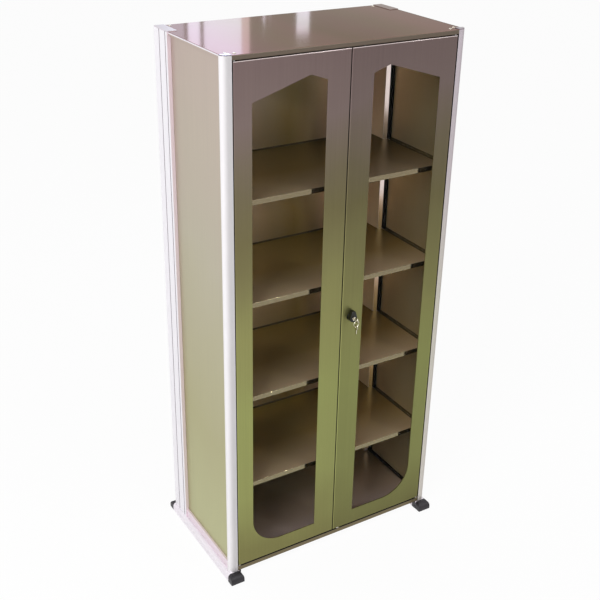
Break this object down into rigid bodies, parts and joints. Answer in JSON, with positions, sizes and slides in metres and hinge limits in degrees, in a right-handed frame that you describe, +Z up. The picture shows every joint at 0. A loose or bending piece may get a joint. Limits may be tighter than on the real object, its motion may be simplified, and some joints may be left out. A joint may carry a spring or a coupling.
{
  "type": "glass door medical cabinet",
  "caption": "Free-standing brushed steel medical cabinet on aluminium posts and foot rails, with glazed pivot doors over folded shelves and a lever lock that drives rods up and down.",
  "frame": {"origin": "on the floor, under the middle of the cabinet's plan (posts, columns and foot rails)", "axes": "+Z up, the doors face -Y, +X to the right of someone facing the doors"},
  "size_m": [0.93, 0.5688, 1.97],
  "materials": {
    "brushed_steel": "brushed",
    "inner_steel": "brushed",
    "aluminium": "satin anodised",
    "black_plastic": "fine grain",
    "lever_plastic": "gloss",
    "rubber": "matt",
    "glass": "clear",
    "nickel": "nickel plated",
    "zinc_steel": "zinc plated"
  },
  "bodies": {
    "frame": {"foot_rail_left": "aluminium", "foot_rail_right": "aluminium", "foot_cap_front_left": "black_plastic", "foot_cap_front_right": "black_plastic", "foot_cap_rear_left": "black_plastic", "foot_cap_rear_right": "black_plastic", "front_post_left": "aluminium", "front_post_right": "aluminium", "front_post_cap_left": "aluminium", "front_post_cap_right": "aluminium", "rear_column_left": "aluminium", "rear_column_right": "aluminium", "rear_column_cap_left": "aluminium", "rear_column_cap_right": "aluminium", "side_bottom_rail_left": "aluminium", "side_bottom_rail_right": "aluminium", "side_top_rail_left": "aluminium", "side_top_rail_right": "aluminium", "side_panel_left": "brushed_steel", "side_panel_right": "brushed_steel", "back_panel": "inner_steel", "top_panel": "brushed_steel", "floor_tray": "brushed_steel", "shelf_1": "inner_steel", "shelf_2": "inner_steel", "shelf_3": "inner_steel", "shelf_4": "inner_steel", "shelf_bearer_1_left": "inner_steel", "shelf_bearer_1_right": "inner_steel", "shelf_bearer_2_left": "inner_steel", "shelf_bearer_2_right": "inner_steel", "shelf_bearer_3_left": "inner_steel", "shelf_bearer_3_right": "inner_steel", "shelf_bearer_4_left": "inner_steel", "shelf_bearer_4_right": "inner_steel", "pivot_block_left": "zinc_steel", "pivot_block_right": "zinc_steel", "pivot_foot_left": "zinc_steel", "pivot_foot_right": "zinc_steel", "door_catch": "black_plastic"},
    "left_door": {"door_skin_left": "brushed_steel", "window_gasket_left": "rubber", "window_glass_left": "glass", "window_frame_left": "brushed_steel", "pivot_pin_left": "zinc_steel"},
    "right_door": {"door_skin_right": "brushed_steel", "window_gasket_right": "rubber", "window_glass_right": "glass", "window_frame_right": "brushed_steel", "pivot_pin_right": "zinc_steel", "lock_rosette": "lever_plastic", "lock_case": "zinc_steel"},
    "lock_lever": {"lock_lever": "lever_plastic", "lock_spindle": "zinc_steel"},
    "key_plug": {"key_cylinder": "nickel", "key": "nickel"},
    "key_ring": {"key_ring": "nickel", "spare_key": "nickel"},
    "upper_rod": {"upper_lock_rod": "zinc_steel"},
    "lower_rod": {"lower_lock_rod": "zinc_steel"}
  },
  "joints": [
    {"name": "left_door_hinge", "type": "hinge", "parent": "frame", "child": "left_door", "pos_m": [-0.4135, -0.239, 1], "axis": [0, 0, -1], "range_deg": [0, 110]},
    {"name": "right_door_hinge", "type": "hinge", "parent": "frame", "child": "right_door", "pos_m": [0.4135, -0.239, 1], "axis": [0, 0, 1], "range_deg": [0, 110]},
    {"name": "lock_turn", "type": "hinge", "parent": "right_door", "child": "lock_lever", "pos_m": [0.0385, -0.245, 0.999], "axis": [0, -1, 0], "range_deg": [0, 90]},
    {"name": "key_turn", "type": "hinge", "parent": "lock_lever", "child": "key_plug", "pos_m": [0.0385, -0.26, 0.999], "axis": [0, -1, 0], "range_deg": [0, 90]},
    {"name": "key_ring_swing", "type": "hinge", "parent": "key_plug", "child": "key_ring", "pos_m": [0.0385, -0.2838, 0.9967], "axis": [-1, 0, 0], "range_deg": [-8, 70]},
    {"name": "upper_rod_slide", "type": "slide", "parent": "right_door", "child": "upper_rod", "axis": [0, 0, 1], "range_m": [0, 0.01414]},
    {"name": "lower_rod_slide", "type": "slide", "parent": "right_door", "child": "lower_rod", "axis": [0, 0, -1], "range_m": [0, 0.01414]}
  ],
  "couplings": [
    {"joint": "lock_turn", "follows": "upper_rod_slide", "rad_per_m": 111.11},
    {"joint": "lower_rod_slide", "follows": "upper_rod_slide", "ratio": 1}
  ]
}
